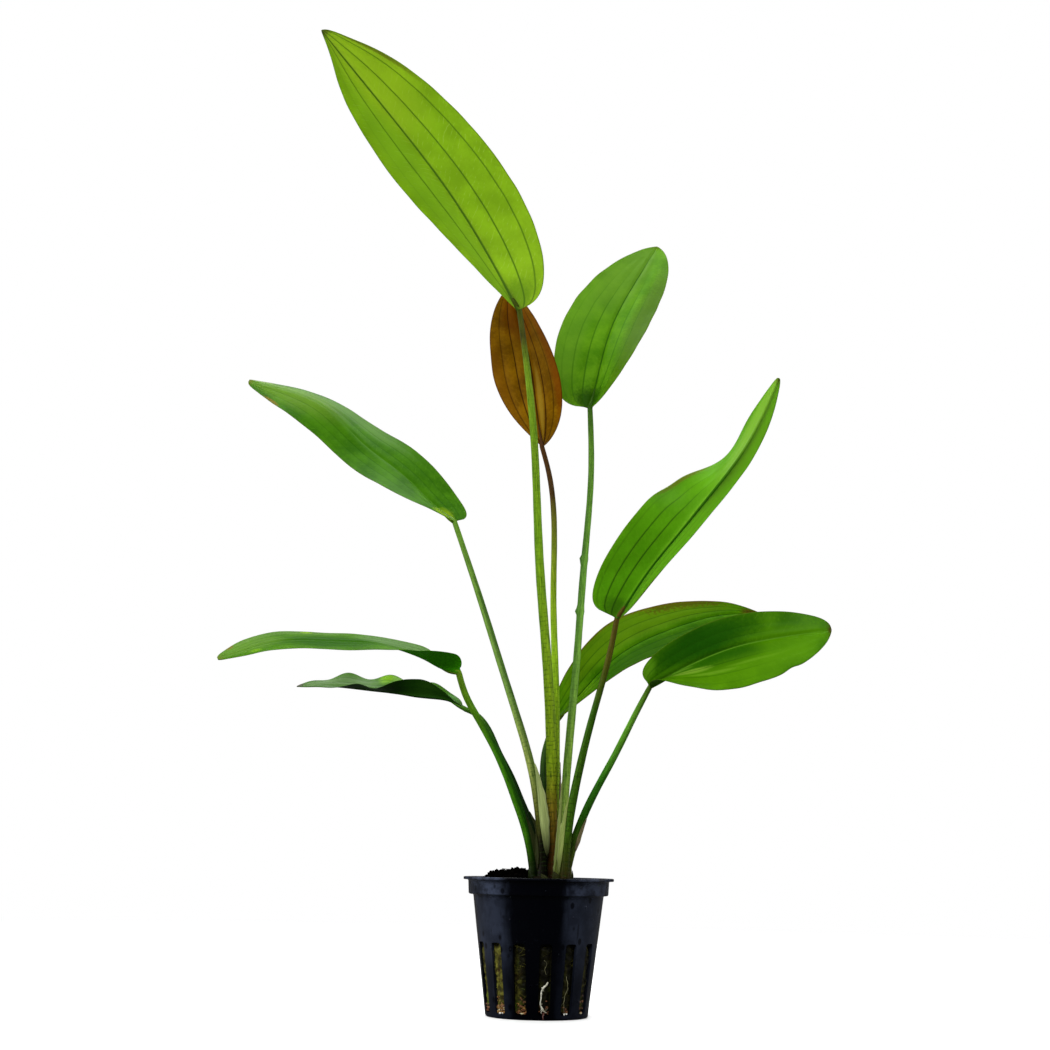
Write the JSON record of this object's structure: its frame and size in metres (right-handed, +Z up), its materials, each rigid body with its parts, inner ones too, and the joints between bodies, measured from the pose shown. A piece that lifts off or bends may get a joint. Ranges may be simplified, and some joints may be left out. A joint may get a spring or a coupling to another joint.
{
  "type": "potted amazon sword plant",
  "caption": "Potted water plant: a rosette of lance-shaped leaves on long stalks, rooted in rock wool in a small tapered net pot with a slotted wall and a rim flange.",
  "frame": {"origin": "centre of the pot's flat underside, where it stands", "axes": "+Z up along the pot's axis; +X to the viewer's right and -Y towards the viewer, as the plant is seen from the front with its tallest leaf leaning left"},
  "size_m": [0.2182, 0.1467, 0.3369],
  "materials": {
    "pot": "satin",
    "rock_wool": "matte",
    "soil": "matte",
    "crown": "satin",
    "leaf_light": "satin",
    "leaf_green": "satin",
    "leaf_dark": "satin",
    "leaf_bronze": "satin",
    "stalk_green": "satin",
    "stalk_brown": "satin",
    "root_white": "satin",
    "root_brown": "satin"
  },
  "bodies": {
    "root": {"pot": "pot", "rock_wool_plug": "rock_wool", "soil_topping": "soil", "crown": "crown", "leaf_1_stalk": "stalk_green", "leaf_1_blade": "leaf_light", "leaf_2_stalk": "stalk_brown", "leaf_2_blade": "leaf_bronze", "leaf_3_stalk": "stalk_green", "leaf_3_blade": "leaf_green", "leaf_4_stalk": "stalk_green", "leaf_4_blade": "leaf_green", "leaf_5_stalk": "stalk_green", "leaf_5_blade": "leaf_green", "leaf_6_stalk": "stalk_brown", "leaf_6_blade": "leaf_dark", "leaf_7_stalk": "stalk_green", "leaf_7_blade": "leaf_dark", "leaf_8_stalk": "stalk_green", "leaf_8_blade": "leaf_green", "leaf_9_stalk": "stalk_green", "leaf_9_blade": "leaf_dark", "root_1": "root_white", "root_2": "root_white", "root_3": "root_brown"}
  },
  "joints": []
}
